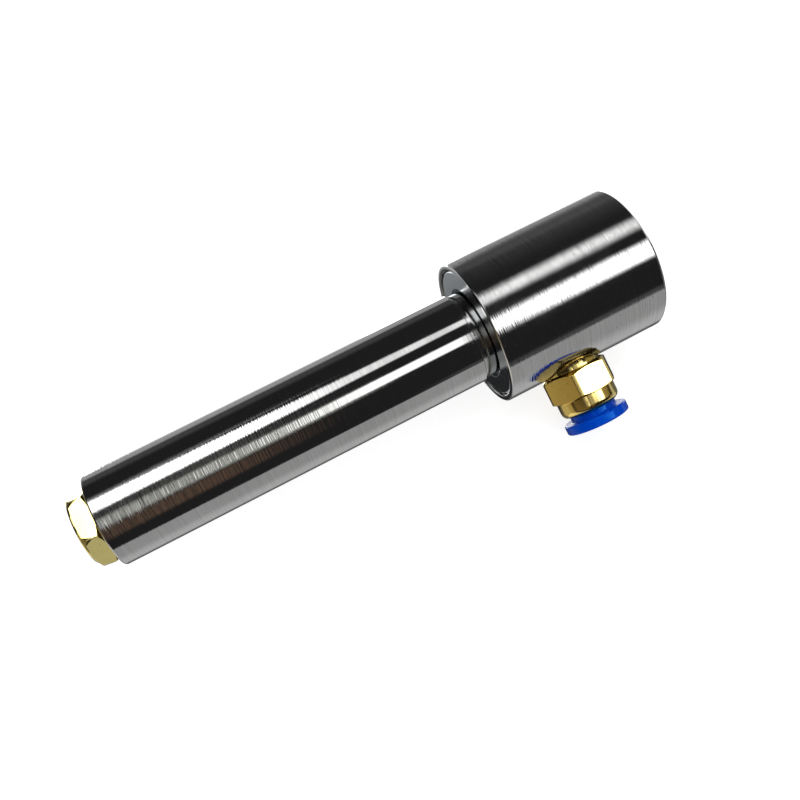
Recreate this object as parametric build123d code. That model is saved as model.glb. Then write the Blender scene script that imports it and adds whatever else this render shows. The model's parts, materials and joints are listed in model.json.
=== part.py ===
from build123d import *
import os
from math import asin, atan2, cos, degrees, hypot, radians, sin, sqrt, tan

os.makedirs("parts", exist_ok=True)

# A vortex tube, in millimetres. X runs along the hot tube towards the cold end, Z is up.
# The origin is the centre of the cold end face. The part lies on the housing and on the rim of its collar.

# Clearances
slide_gap = 0.05
thread_gap = 0.05
seal_gap = 0.02
mouth_gap = 0.3

# Seal rings and their grooves
ring_section = 1.5
small_ring_section = 1.0
groove_extra = 0.3

# Housing
housing_d = 32.0
housing_wall = 1.5
housing_rim_chamfer = 0.35
housing_mouth_depth = 1.2
cold_edge_chamfer = 0.6
cold_port_d = 11.44
cold_port_depth = 11.5
cold_passage_d = 9.4
cold_passage_len = 1.0
chamber_d = 21.0
chamber_tail = 5.4

# End cap
cap_sink = 0.3
cap_thread_len = 4.2
cap_nose_step = 1.7
cap_nose_len = 4.0
cap_edge_chamfer = 0.35
cap_mouth_depth = 1.5
cap_pilot_len = 2.4

# Hot tube, whose length counts from the housing's face
tube_d = 20.0
tube_len = 84.7
tube_bore_d = 11.0
tube_shoulder_round = 0.4
tube_end_round = 0.45
neck_step = 0.5
neck_len = 2.5
tube_thread_step = 0.5
tube_pilot_step = 0.7

# Swirl generator and cold orifice
generator_flange_len = 4.5
generator_drum_len = 6.5
nozzle_count = 6
nozzle_depth = 3.0
nozzle_mouth_w = 2.3
nozzle_throat_w = 0.8
orifice_d = 5.6
orifice_land = 1.0
orifice_seat_w = 1.1
orifice_plate_len = 4.0

# Flow straightener
straightener_len = 9.0
straightener_wall = 0.6
straightener_from_valve = 1.5
vane_w = 0.7

# Hot valve
valve_flats = 15.0
valve_hex_turn = 2.2
valve_head_len = 4.5
valve_head_gap = 0.05
valve_boss_step = 0.1
valve_boss_len = 0.5
valve_boss_bevel = 0.3
valve_corner_trim = 0.5
valve_trim_len = 0.25
valve_corner_spare = 0.04
valve_inner_bevel = 0.35
valve_inner_len = 1.0
valve_thread_step = 0.5
valve_thread_len = 6.2
valve_thread_runout = 0.85
valve_pilot_step = 0.55
valve_seal_land = 0.4
valve_neck_d = 8.0
valve_neck_len = 4.0
valve_seat_w = 0.4
valve_cone_rim = 0.6
valve_cone_len = 3.2
valve_cone_gap = 0.1
valve_lift = 2.5
valve_lift_spare = 0.4
valve_bore_d = 5.2
valve_bore_chamfer = 0.4
valve_hole_d = 2.2
valve_hole_count = 4

# Inlet fitting, with its lengths counted up from the face that it is screwed down on
inlet_past_flange = 4.25
port_thread_d = 9.73
port_face_rim = 0.35
fitting_stub_gap = 0.4
fitting_air_d = 6.0
fitting_shoulder_d = 12.3
fitting_shoulder_len = 1.33
fitting_flats = 14.0
fitting_corner_trim = 0.23
fitting_hex_len = 5.95
fitting_hex_slope = 25.0
fitting_hex_turn = 23.0
fitting_neck_len = 3.8
fitting_wall = 0.8
fitting_top_round = 1.5
fitting_lip_len = 1.9

# Hose and the seal, spacer and grab ring round it
hose_d = 8.0
hose_gap = 0.1
hose_socket_len = 3.0
tube_seal_len = 1.3
spacer_len = 0.8
grab_plate = 0.35
grab_rim_w = 0.75
grab_drop = 0.7
grab_tooth_count = 12
grab_tooth_slit = 0.5
grab_free = 0.21

# Release collar
collar_wall = 1.05
collar_stroke = 1.0
collar_rim_gap = 0.2
collar_flange_d = 14.2
collar_flange_len = 2.2
collar_flange_round = 0.45
collar_barb_step = 0.4
collar_barb_len = 1.0
collar_nose_step = 0.35
collar_nose_len = 1.1
collar_slit_w = 0.8
collar_slit_count = 4
snap_play = 0.3
snap_spare = 0.6
snap_gap = 0.2

# Diameters that follow from their neighbours
cap_thread_d = housing_d - 2 * housing_wall
cap_nose_d = cap_thread_d - 2 * cap_nose_step
neck_d = tube_d - 2 * neck_step
tube_thread_d = neck_d - 2 * tube_thread_step
pilot_d = tube_thread_d - 2 * tube_pilot_step
orifice_plate_d = tube_bore_d + 2 * orifice_seat_w
valve_cone_d = tube_bore_d + 2 * valve_seat_w
valve_pilot_d = valve_cone_d + 2 * valve_pilot_step
valve_thread_d = valve_pilot_d + 2 * valve_thread_step
port_face_d = fitting_shoulder_d + 2 * port_face_rim
hose_bore_d = hose_d + 2 * hose_gap
collar_neck_d = hose_bore_d + 2 * collar_wall
collar_barb_d = collar_neck_d + 2 * collar_barb_step
collar_nose_d = collar_neck_d - 2 * collar_nose_step
cage_d = collar_neck_d + 2 * slide_gap
snap_d = collar_barb_d + 2 * snap_gap
fitting_body_d = snap_d + 2 * fitting_wall
fitting_seal_d = port_thread_d + 2 * (small_ring_section + seal_gap)

# Places along X, from the cold end to the cap
generator_seat_x = -(cold_port_depth + cold_passage_len)
orifice_face_x = generator_seat_x - orifice_plate_len
generator_flange_x = generator_seat_x - generator_flange_len
generator_seal_x = (generator_flange_x + generator_seat_x) / 2
generator_face_x = generator_flange_x - generator_drum_len
inlet_x = generator_flange_x - inlet_past_flange
cap_nose_x = generator_face_x - chamber_tail
cap_shoulder_x = cap_nose_x - cap_nose_len
cap_seal_x = (cap_nose_x + cap_shoulder_x) / 2
cap_face_x = cap_shoulder_x - cap_thread_len
cap_pilot_x = cap_nose_x - cap_pilot_len
pilot_seal_x = (cap_nose_x + cap_pilot_x) / 2
rim_x = cap_face_x - cap_sink

# Places along X on the hot tube
tube_thread_x = cap_pilot_x - mouth_gap
neck_seat_x = cap_face_x + cap_mouth_depth
tube_shoulder_x = rim_x - neck_len
tube_end_x = rim_x - tube_len

# The valve is drawn screwed right in, with its head at the end of the tube and its cone at the seat
valve_face_x = tube_end_x - valve_head_gap
valve_end_x = valve_face_x - valve_head_len
valve_pilot_x = valve_face_x + valve_thread_len
valve_seal_half = (ring_section + groove_extra) / 2
seal_bore_x = valve_pilot_x + valve_thread_runout
valve_seal_x = seal_bore_x + valve_lift + valve_lift_spare + ring_section / 2
valve_neck_x = valve_seal_x + valve_seal_half + valve_seal_land
valve_rim_x = valve_neck_x + valve_neck_len
valve_cone_x = valve_rim_x + valve_cone_rim
valve_tip_x = valve_cone_x + valve_cone_len
valve_seat_x = valve_cone_x - (valve_pilot_d - valve_cone_d) / 2 - slide_gap + valve_cone_gap
straightener_x = valve_tip_x + straightener_from_valve

# Heights along the fitting, from the housing's axis outwards
stub_end = chamber_d / 2 + fitting_stub_gap
port_face = sqrt((housing_d / 2) ** 2 - (port_face_d / 2) ** 2)
hex_base = port_face + fitting_shoulder_len
hex_top = hex_base + fitting_hex_len
fitting_top = hex_top + fitting_neck_len
collar_base = fitting_top + collar_stroke + collar_rim_gap
collar_face = collar_base + collar_flange_len
snap_top = fitting_top - fitting_lip_len
barb_top = snap_top - snap_play
barb_base = barb_top - collar_barb_len
snap_floor = barb_base - collar_stroke - snap_spare
collar_end = barb_base - collar_nose_len
grab_top = collar_end - collar_stroke - grab_free
spacer_top = grab_top - grab_plate
tube_seal_top = spacer_top - spacer_len
cage_floor = tube_seal_top - tube_seal_len
hose_stop = cage_floor - hose_socket_len

# The fitting points down from the horizontal until the collar's rim is as low as the housing
collar_reach = hypot(collar_face, collar_flange_d / 2)
fitting_drop = asin(housing_d / 2 / collar_reach) - atan2(collar_flange_d / 2, collar_face)
fitting_plane = Plane(
    origin=(inlet_x, 0, 0),
    x_dir=(0, -cos(fitting_drop), -sin(fitting_drop)),
    z_dir=(0, -sin(fitting_drop), cos(fitting_drop)),
)


# A solid turned about X from its (x, radius) corners, with some of them rounded
def turned(corners, rounds=None):
    face = make_face(Polyline(*corners, close=True))
    for index, radius in (rounds or {}).items():
        corner = face.vertices().sort_by_distance((*corners[index], 0))[0]
        face = fillet(corner, radius)
    return revolve(face, Axis.X)


# A plain shaft, or the tool that bores a hole, from x0 to x1
def shaft(x0, x1, diameter):
    return turned([(x0, 0), (x1, 0), (x1, diameter / 2), (x0, diameter / 2)])


def ring(x0, x1, inner_d, outer_d):
    return turned([(x0, inner_d / 2), (x1, inner_d / 2), (x1, outer_d / 2), (x0, outer_d / 2)])


def groove(x, inner_d, outer_d, section_d):
    half = (section_d + groove_extra) / 2
    return ring(x - half, x + half, inner_d, outer_d)


# A seal ring of a round section, between two diameters
def seal_ring(x, inner_d, outer_d):
    section_d = (outer_d - inner_d) / 2
    return revolve(Plane.XY * Pos(x, (inner_d + outer_d) / 4) * Circle(section_d / 2), Axis.X)


# A hexagonal bar along X whose first corner stands at an angle from +Y
def hex_bar(x0, x1, flats, corner_angle):
    outline = RegularPolygon(flats / sqrt(3), 6, rotation=corner_angle)
    return extrude(Plane.YZ.offset(x0) * outline, x1 - x0)


# Copies of a tool, turned evenly about X
def around_x(tool, count):
    return [Rot(360 / count * index, 0, 0) * tool for index in range(count)]


def make_housing():
    outer = housing_d / 2
    mouth = cap_thread_d / 2 + mouth_gap
    thread = cap_thread_d / 2 + thread_gap
    nose = cap_nose_d / 2 + slide_gap
    chamber = chamber_d / 2
    passage = cold_passage_d / 2
    port = cold_port_d / 2
    thread_end = cap_shoulder_x + mouth_gap
    body = turned([
        (rim_x, mouth), (rim_x + housing_mouth_depth, mouth), (rim_x + housing_mouth_depth, thread),
        (thread_end, thread), (thread_end, nose), (cap_nose_x, nose), (cap_nose_x, chamber),
        (generator_seat_x, chamber), (generator_seat_x, passage), (-cold_port_depth, passage),
        (-cold_port_depth, port), (0, port), (0, outer - cold_edge_chamfer), (-cold_edge_chamfer, outer),
        (rim_x + housing_rim_chamfer, outer), (rim_x, outer - housing_rim_chamfer),
    ])
    port_cut = shaft(port_face, housing_d, port_face_d) + shaft(0, housing_d, port_thread_d + 2 * thread_gap)
    return body - fitting_plane.location * port_cut


def make_end_cap():
    thread = cap_thread_d / 2
    nose = cap_nose_d / 2
    mouth = tube_d / 2 + mouth_gap
    bore = tube_thread_d / 2 + thread_gap
    pilot = pilot_d / 2 + slide_gap
    cap = turned([
        (cap_face_x, mouth), (neck_seat_x, mouth), (neck_seat_x, bore), (cap_pilot_x, bore),
        (cap_pilot_x, pilot), (cap_nose_x, pilot), (cap_nose_x, nose), (cap_shoulder_x, nose),
        (cap_shoulder_x, thread), (cap_face_x + cap_edge_chamfer, thread),
        (cap_face_x, thread - cap_edge_chamfer),
    ])
    outer_groove = groove(cap_seal_x, cap_nose_d - 2 * ring_section, cap_nose_d, ring_section)
    pilot_groove_d = pilot_d + 2 * (small_ring_section + slide_gap)
    inner_groove = groove(pilot_seal_x, pilot_d, pilot_groove_d, small_ring_section)
    return cap - outer_groove - inner_groove


def make_cap_seal():
    outer_d = cap_nose_d + 2 * (slide_gap - seal_gap)
    return seal_ring(cap_seal_x, cap_nose_d - 2 * (ring_section - seal_gap), outer_d)


def make_pilot_seal():
    outer_d = pilot_d + 2 * (small_ring_section + slide_gap - seal_gap)
    return seal_ring(pilot_seal_x, pilot_d + 2 * seal_gap, outer_d)


def make_hot_tube():
    outer = tube_d / 2
    neck = neck_d / 2
    thread = tube_thread_d / 2
    pilot = pilot_d / 2
    bore = tube_bore_d / 2
    seal_bore = valve_pilot_d / 2 + slide_gap
    valve_thread = valve_thread_d / 2 + thread_gap
    corners = [
        (tube_end_x, valve_thread), (seal_bore_x, valve_thread), (seal_bore_x, seal_bore),
        (valve_seat_x, seal_bore), (valve_seat_x + seal_bore - bore, bore), (generator_face_x, bore),
        (generator_face_x, pilot), (tube_thread_x, pilot), (tube_thread_x, thread), (neck_seat_x, thread),
        (neck_seat_x, neck), (tube_shoulder_x, neck), (tube_shoulder_x, outer), (tube_end_x, outer),
    ]
    shoulder = corners.index((tube_shoulder_x, outer))
    return turned(corners, {shoulder: tube_shoulder_round, shoulder + 1: tube_end_round})


# One converging channel, tangent to the bore of the swirl chamber, drawn looking along the tube
def nozzle_outline():
    bore = tube_bore_d / 2
    reach = chamber_d / 2
    throat_y = bore - nozzle_throat_w
    throat = (sqrt(bore ** 2 - throat_y ** 2), throat_y)
    mouth = (reach, bore - nozzle_mouth_w)
    flank = TangentArc(throat, mouth, tangent=(1, 0))
    wall = Polyline(mouth, (reach, bore), (0, bore), (0, throat_y), throat)
    return make_face([flank, wall])


def make_vortex_generator():
    bore = tube_bore_d / 2
    drum = pilot_d / 2
    flange = chamber_d / 2 - slide_gap
    pocket = orifice_plate_d / 2 + slide_gap
    body = turned([
        (generator_face_x, bore), (orifice_face_x, bore), (orifice_face_x, pocket),
        (generator_seat_x, pocket), (generator_seat_x, flange), (generator_flange_x, flange),
        (generator_flange_x, drum), (generator_face_x, drum),
    ])
    seal_groove = groove(generator_seal_x, chamber_d - 2 * ring_section, chamber_d, ring_section)
    face = Plane(origin=(generator_face_x, 0, 0), x_dir=(0, 1, 0), z_dir=(1, 0, 0))
    channel = face.location * extrude(nozzle_outline(), nozzle_depth)
    return body - seal_groove - around_x(channel, nozzle_count)


def make_generator_seal():
    return seal_ring(generator_seal_x, chamber_d - 2 * (ring_section - seal_gap), chamber_d - 2 * seal_gap)


def make_cold_orifice():
    plate = orifice_plate_d / 2
    hole = orifice_d / 2
    return turned([
        (orifice_face_x, hole), (orifice_face_x + orifice_land, hole), (generator_seat_x, cold_passage_d / 2),
        (generator_seat_x, plate), (orifice_face_x, plate),
    ])


def make_flow_straightener():
    end_x = straightener_x + straightener_len
    outer_d = tube_bore_d - 2 * slide_gap
    hoop = ring(straightener_x, end_x, outer_d - 2 * straightener_wall, outer_d)
    middle = (straightener_x + end_x) / 2
    vane = Pos(middle, 0, 0) * Box(straightener_len, outer_d - straightener_wall, vane_w)
    return hoop + vane + Rot(90, 0, 0) * vane


# The turned shape of the valve's head: a round end, and two cones that meet just outside the corners
def valve_head_envelope():
    flat = valve_flats / 2
    corner = valve_flats / sqrt(3)
    boss = flat - valve_boss_step
    boss_x = valve_end_x + valve_boss_len
    return turned([
        (valve_end_x, 0), (valve_face_x, 0), (valve_face_x, flat - valve_inner_bevel),
        (valve_face_x - valve_inner_len, corner + valve_corner_spare),
        (boss_x + valve_trim_len, corner - valve_corner_trim), (boss_x, boss),
        (valve_end_x + valve_boss_bevel, boss), (valve_end_x, boss - valve_boss_bevel),
    ])


def make_hot_valve():
    head = hex_bar(valve_end_x, valve_face_x, valve_flats, valve_hex_turn) & valve_head_envelope()
    cone = valve_cone_d / 2
    neck = valve_neck_d / 2
    pilot = valve_pilot_d / 2
    thread = valve_thread_d / 2
    stem = turned([
        (valve_face_x, 0), (valve_tip_x, 0), (valve_tip_x, cone - valve_cone_len), (valve_cone_x, cone),
        (valve_rim_x, cone), (valve_rim_x, neck), (valve_neck_x, neck), (valve_neck_x, pilot),
        (valve_pilot_x, pilot), (valve_pilot_x, thread), (valve_face_x, thread),
    ])
    hole_x = (valve_neck_x + valve_rim_x) / 2
    bore = shaft(valve_end_x, hole_x + valve_hole_d / 2 + valve_cone_rim, valve_bore_d)
    mouth_r = valve_bore_d / 2 + valve_bore_chamfer
    mouth = turned([(valve_end_x, 0), (valve_end_x + mouth_r, 0), (valve_end_x, mouth_r)])
    hole = Pos(hole_x, 0, 0) * extrude(Circle(valve_hole_d / 2), valve_neck_d)
    seal_groove = groove(valve_seal_x, valve_pilot_d - 2 * ring_section, valve_pilot_d, ring_section)
    return head + stem - bore - mouth - around_x(hole, valve_hole_count) - seal_groove


def make_valve_seal():
    outer_d = valve_pilot_d + 2 * (slide_gap - seal_gap)
    return seal_ring(valve_seal_x, valve_pilot_d - 2 * (ring_section - seal_gap), outer_d)


# The turned shape that the fitting's hexagonal bar is cut down to
def fitting_envelope():
    corner = fitting_flats / sqrt(3) - fitting_corner_trim
    flat = fitting_flats / 2
    base = fitting_shoulder_d / 2
    body = fitting_body_d / 2
    rise = tan(radians(fitting_hex_slope))
    top = hex_top + (flat - body) * rise
    return turned([
        (hex_base, 0), (top, 0), (top, body), (hex_top - (corner - flat) * rise, corner),
        (hex_base + (corner - base) * rise, corner), (hex_base, base),
    ])


def make_inlet_fitting():
    hexagon = hex_bar(hex_base, fitting_top, fitting_flats, 90 + fitting_hex_turn) & fitting_envelope()
    hex_middle = (hex_base + hex_top) / 2
    shoulder = shaft(port_face, hex_middle, fitting_shoulder_d)
    body = fitting_body_d / 2
    barrel = turned([(hex_middle, 0), (fitting_top, 0), (fitting_top, body), (hex_middle, body)],
                    {2: fitting_top_round})
    stub = shaft(stub_end, port_face, port_thread_d)
    bores = [
        shaft(stub_end, fitting_top, fitting_air_d),
        shaft(hose_stop, fitting_top, hose_bore_d),
        shaft(cage_floor, fitting_top, cage_d),
        shaft(snap_floor, snap_top, snap_d),
        ring(port_face, port_face + small_ring_section, port_thread_d, fitting_seal_d),
    ]
    return hexagon + shoulder + barrel + stub - bores


# The seal under the fitting lies round its thread, in a recess of its shoulder
def make_inlet_seal():
    middle = port_face + small_ring_section / 2
    return seal_ring(middle, port_thread_d + 2 * seal_gap, fitting_seal_d - 2 * seal_gap)


# A lip seal whose inner edge runs on the hose
def make_tube_seal():
    outer = cage_d / 2 - seal_gap
    inner = hose_d / 2
    lip = (outer - inner) / 3
    low = cage_floor + seal_gap
    high = tube_seal_top - seal_gap
    return turned([
        (low, inner + lip), (low + lip, inner), (high, inner + lip / 2), (high, outer - lip / 2),
        (low + lip, outer), (low, outer - lip),
    ])


def make_seal_spacer():
    return ring(tube_seal_top, spacer_top, collar_neck_d - 2 * grab_rim_w, collar_neck_d)


# A ring of spring teeth that lean inwards round the hose
def make_grab_ring():
    outer = collar_neck_d / 2
    rim = outer - grab_rim_w
    tip = hose_d / 2
    plate = turned([
        (spacer_top, rim), (spacer_top, outer), (grab_top, outer), (grab_top, rim),
        (grab_top - grab_drop, tip), (spacer_top - grab_drop, tip),
    ])
    slit_len = 2 * (grab_drop + grab_plate)
    slit = Pos(spacer_top, 0, rim / 2) * Box(slit_len, grab_tooth_slit, rim)
    return plate - around_x(slit, grab_tooth_count)


def make_release_collar():
    inner = hose_bore_d / 2
    neck = collar_neck_d / 2
    flange = collar_flange_d / 2
    barb = collar_barb_d / 2
    nose = collar_nose_d / 2
    corners = [
        (collar_end, inner), (collar_face, inner), (collar_face, flange), (collar_base, flange),
        (collar_base, neck), (barb_top, neck), (barb_top, barb), (barb_base, nose), (collar_end, nose),
    ]
    collar = turned(corners, {2: collar_flange_round, 3: collar_flange_round})
    slit_len = fitting_top - collar_end
    slit = Pos(collar_end + slit_len / 2, 0, barb / 2) * Box(slit_len, collar_slit_w, barb)
    return collar - around_x(slit, collar_slit_count)


on_tube = {
    "housing": make_housing(),
    "end_cap": make_end_cap(),
    "cap_seal": make_cap_seal(),
    "hot_tube": make_hot_tube(),
    "pilot_seal": make_pilot_seal(),
    "vortex_generator": make_vortex_generator(),
    "generator_seal": make_generator_seal(),
    "cold_orifice": make_cold_orifice(),
    "flow_straightener": make_flow_straightener(),
    "hot_valve": make_hot_valve(),
    "valve_seal": make_valve_seal(),
}
on_fitting = {
    "inlet_fitting": make_inlet_fitting(),
    "inlet_seal": make_inlet_seal(),
    "tube_seal": make_tube_seal(),
    "seal_spacer": make_seal_spacer(),
    "grab_ring": make_grab_ring(),
    "release_collar": make_release_collar(),
}
for node, solid in on_tube.items():
    export_step(solid, f"parts/{node}.step")
for node, solid in on_fitting.items():
    export_step(fitting_plane.location * solid, f"parts/{node}.step")

print("The housing is", round(-rim_x, 2), "long and the tube ends at", round(tube_end_x, 2))
print("The fitting points down by", round(degrees(fitting_drop), 2), "degrees")
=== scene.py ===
import json
import math
from functools import cache

import bmesh
import bpy
from mathutils import Matrix, Vector


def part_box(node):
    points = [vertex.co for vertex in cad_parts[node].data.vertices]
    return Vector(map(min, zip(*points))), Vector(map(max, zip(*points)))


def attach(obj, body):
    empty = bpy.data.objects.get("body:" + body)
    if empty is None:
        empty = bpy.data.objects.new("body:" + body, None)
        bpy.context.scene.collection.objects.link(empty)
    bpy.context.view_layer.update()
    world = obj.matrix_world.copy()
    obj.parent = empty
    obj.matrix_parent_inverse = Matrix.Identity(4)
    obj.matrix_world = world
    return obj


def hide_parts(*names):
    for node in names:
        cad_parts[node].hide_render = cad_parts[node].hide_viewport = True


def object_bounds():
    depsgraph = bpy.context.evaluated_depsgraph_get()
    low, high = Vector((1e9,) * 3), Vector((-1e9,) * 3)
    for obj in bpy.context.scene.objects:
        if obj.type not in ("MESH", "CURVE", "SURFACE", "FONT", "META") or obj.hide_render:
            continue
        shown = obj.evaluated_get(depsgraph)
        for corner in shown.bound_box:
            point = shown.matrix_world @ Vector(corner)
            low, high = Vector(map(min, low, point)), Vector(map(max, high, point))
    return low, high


bl_info = {
    "name": "Vortex tube dressing",
    "version": (1, 0, 0),
    "blender": (4, 5, 0),
    "location": "3D View > Sidebar > Vortex tube",
    "description": "Builds the turned, machined and moulded pieces of a vortex tube round its packed model",
    "category": "Object",
}

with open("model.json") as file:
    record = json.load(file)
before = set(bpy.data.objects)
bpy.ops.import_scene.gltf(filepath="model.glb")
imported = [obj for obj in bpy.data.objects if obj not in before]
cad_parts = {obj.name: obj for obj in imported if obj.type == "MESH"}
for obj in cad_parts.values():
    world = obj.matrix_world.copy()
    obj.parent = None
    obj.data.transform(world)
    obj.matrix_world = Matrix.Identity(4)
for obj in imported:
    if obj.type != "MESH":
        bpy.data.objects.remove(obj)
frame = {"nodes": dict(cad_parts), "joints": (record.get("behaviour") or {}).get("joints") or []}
cad_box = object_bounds()

MM = 0.001
TINY = 1e-7
SLIDE_GAP = 0.05 * MM
SOFT_EDGE = 0.06 * MM
SHARP_ANGLE = math.radians(38)
FINE_STEPS = 288
SMALL_STEPS = 192
RING_DRIFT = 70.0
RINGS_LEFT = 0.015
POLISH_GAIN = 0.03
# Pitch of the finest turning rings, along which the turned metals get painted shade.
SHADED_RING_PITCH = 0.17 * MM

HOUSING_LOW, HOUSING_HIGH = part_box("housing")
CAP_LOW, CAP_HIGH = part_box("end_cap")
TUBE_LOW, TUBE_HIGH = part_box("hot_tube")
VALVE_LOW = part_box("hot_valve")[0]
COLLAR_LOW, COLLAR_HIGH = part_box("release_collar")
STAND_Z = cad_box[0].z


# Property helpers

def length(name, description, default):
    """A size in metres, shown in the scene's length unit."""
    return bpy.props.FloatProperty(
        name=name, description=description, default=default, unit="LENGTH", precision=5
    )


def paint(name, description, default):
    """A colour that a user may change."""
    return bpy.props.FloatVectorProperty(
        name=name, description=description, default=default, subtype="COLOR", size=3, min=0, max=1
    )


def amount(name, description, default):
    """A share or strength without a unit."""
    return bpy.props.FloatProperty(name=name, description=description, default=default, min=0)


def first_corner(default):
    """The angle of a hexagon's first corner."""
    return bpy.props.FloatProperty(
        name="Hexagon turn", description="Angle of the first corner", default=default, subtype="ANGLE"
    )


class HousingSizes(bpy.types.PropertyGroup):
    """Sizes of the turned housing, whose cold face stands at X zero."""

    radius: length("Radius", "Outer radius of the housing", HOUSING_HIGH.z)
    rim_x: length("Hot rim", "Place of the rim round the end cap along X", HOUSING_LOW.x)
    mouth_radius: length("Mouth radius", "Radius of the recess round the cap", 14.8 * MM)
    mouth_depth: length("Mouth depth", "Depth of the recess round the cap", 1.2 * MM)
    cold_edge: length("Cold edge", "Chamfer round the cold face", 0.6 * MM)
    rim_edge: length("Rim edge", "Chamfer round the hot rim", 0.22 * MM)
    port_depth: length("Cold port depth", "Depth of the threaded cold outlet", 11.5 * MM)
    port_root: length("Cold thread root", "Largest radius of the cold outlet's thread", 6.58 * MM)
    port_crest: length("Cold thread crest", "Smallest radius of the cold outlet's thread", 5.72 * MM)
    port_pitch: length("Cold thread pitch", "Pitch of the cold outlet's thread", 1.337 * MM)


class CapSizes(bpy.types.PropertyGroup):
    """Sizes of the threaded disc on the hot side of the housing."""

    radius: length("Radius", "Outer radius of the disc", CAP_HIGH.z)
    face_x: length("Face", "Place of the disc's outer face along X", CAP_LOW.x)
    edge: length("Edge", "Chamfer round the outer face", 0.35 * MM)
    mouth_radius: length("Mouth radius", "Radius of the recess round the tube's neck", 10.3 * MM)
    mouth_depth: length("Mouth depth", "Depth of the recess round the tube's neck", 1.5 * MM)


class TubeSizes(bpy.types.PropertyGroup):
    """Sizes of the hot tube."""

    radius: length("Radius", "Outer radius of the tube", TUBE_HIGH.z)
    end_x: length("Hot end", "Place of the tube's hot end along X", TUBE_LOW.x)
    shoulder_x: length("Shoulder", "Place of the shoulder at the neck along X", -39.9 * MM)
    neck_radius: length("Neck radius", "Radius of the neck at the end cap", 9.5 * MM)
    bore_radius: length("Bore radius", "Radius of the bore", 5.5 * MM)
    shoulder_round: length("Shoulder round", "Round on the shoulder's edge", 0.2 * MM)
    end_round: length("End round", "Round on the hot end's edge", 0.45 * MM)


class ValveSizes(bpy.types.PropertyGroup):
    """Sizes of the brass hot valve."""

    end_x: length("Outer end", "Place of the head's outer face along X", VALVE_LOW.x)
    head_length: length("Head length", "Length of the hexagonal head", 4.5 * MM)
    hex_turn: first_corner(math.radians(2.2))
    half_flats: length("Half flats", "Half the width across the head's flats", 7.5 * MM)
    bore_radius: length("Bore radius", "Radius of the exhaust bore", 2.6 * MM)
    thread_crest: length("Thread crest", "Outer radius of the valve's thread", 6.93 * MM)
    thread_root: length("Thread root", "Root radius of the valve's thread", 6.3 * MM)
    thread_pitch: length("Thread pitch", "Pitch of the valve's thread", 1.0 * MM)


class FittingSizes(bpy.types.PropertyGroup):
    """Sizes of the brass push-in fitting, with heights counted out from the housing's axis."""

    stub_end: length("Stub end", "Height of the thread's inner end", 10.9 * MM)
    port_face: length("Port face", "Height of the spot face on the housing", 14.62 * MM)
    hex_base: length("Hexagon base", "Height of the hexagon's lower edge", 15.95 * MM)
    hex_top: length("Hexagon top", "Height of the hexagon's upper edge", 21.9 * MM)
    top: length("Top", "Height of the round end", 25.7 * MM)
    half_flats: length("Half flats", "Half the width across the flats", 7.0 * MM)
    hex_turn: first_corner(math.radians(113))
    body_radius: length("Body radius", "Radius of the round body", 6.55 * MM)
    top_round: length("Top round", "Round at the top of the body", 1.5 * MM)
    stub_radius: length("Stub radius", "Outer radius of the fitting's thread", 4.865 * MM)


class CollarSizes(bpy.types.PropertyGroup):
    """Sizes of the release collar, with heights counted out from the housing's axis."""

    base: length("Flange base", "Height of the flange's inner face", 26.9 * MM)
    face: length("Flange face", "Height of the flange's outer face", 29.1 * MM)
    flange_radius: length("Flange radius", "Radius of the flange", (COLLAR_HIGH.x - COLLAR_LOW.x) / 2)
    flange_round: length("Flange round", "Round on the flange's edges", 0.45 * MM)
    neck_radius: length("Neck radius", "Radius of the neck", 5.15 * MM)
    bore_radius: length("Bore radius", "Radius of the hose's bore", 4.1 * MM)


class Finishes(bpy.types.PropertyGroup):
    """Colours and amounts of the finishes."""

    steel: paint("Steel", "Colour of the turned steel", (0.52, 0.52, 0.515))
    disc: paint("Disc", "Colour of the satin end cap", (0.38, 0.405, 0.42))
    brass: paint("Brass", "Colour of the valve's pale brass", (0.84, 0.73, 0.28))
    bright_brass: paint("Fitting brass", "Colour of the fitting's yellow brass", (0.8, 0.63, 0.24))
    inner_brass: paint("Inner brass", "Colour of the milled brass inside", (0.66, 0.5, 0.2))
    blue: paint("Blue", "Colour of the release collar", (0.0, 0.065, 0.62))
    white_plastic: paint("Orifice plastic", "Colour of the cold orifice", (0.8, 0.8, 0.76))
    rubber: paint("Rubber", "Colour of the seals", (0.02, 0.02, 0.02))
    spring: paint("Spring steel", "Colour of the grab ring", (0.6, 0.6, 0.6))
    turning: amount("Turning marks", "Depth of the turning marks", 1.0)
    wear: amount("Wear", "Depth of scratches and pits", 1.0)


class StageSettings(bpy.types.PropertyGroup):
    """Camera, floor and light."""

    camera_place: bpy.props.FloatVectorProperty(
        name="Camera place", description="Where the camera stands", subtype="TRANSLATION",
        unit="LENGTH", default=(-0.08536488, -0.05785586, 0.18338353), precision=5,
    )
    camera_turn: bpy.props.FloatVectorProperty(
        name="Camera turn", description="How the camera is turned", subtype="EULER",
        default=(0.31065006, 0.00356141, -0.48998016),
    )
    lens: bpy.props.FloatProperty(
        name="Lens", description="Focal length in millimetres on a 36 mm sensor", default=41.715
    )
    plain_light: amount("Plain light", "Level of the even light on matt surfaces", 0.62)
    key_light: bpy.props.FloatProperty(
        name="Key light", description="Power of the soft lamp above", default=0.42, unit="POWER"
    )
    floor: paint("Floor", "Colour of the floor", (0.62, 0.62, 0.62))


# Shader helpers

def put(tree, kind, inputs=None, **settings):
    """A new node with its settings, and values or wires on its inputs."""
    made = tree.nodes.new(kind)
    for name, value in settings.items():
        setattr(made, name, value)
    for name, value in (inputs or {}).items():
        if isinstance(value, bpy.types.NodeSocket):
            tree.links.new(value, made.inputs[name])
        else:
            made.inputs[name].default_value = value
    return made


def calc(tree, operation, *values):
    """The output of a Math node."""
    return put(tree, "ShaderNodeMath", dict(enumerate(values)), operation=operation).outputs[0]


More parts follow.
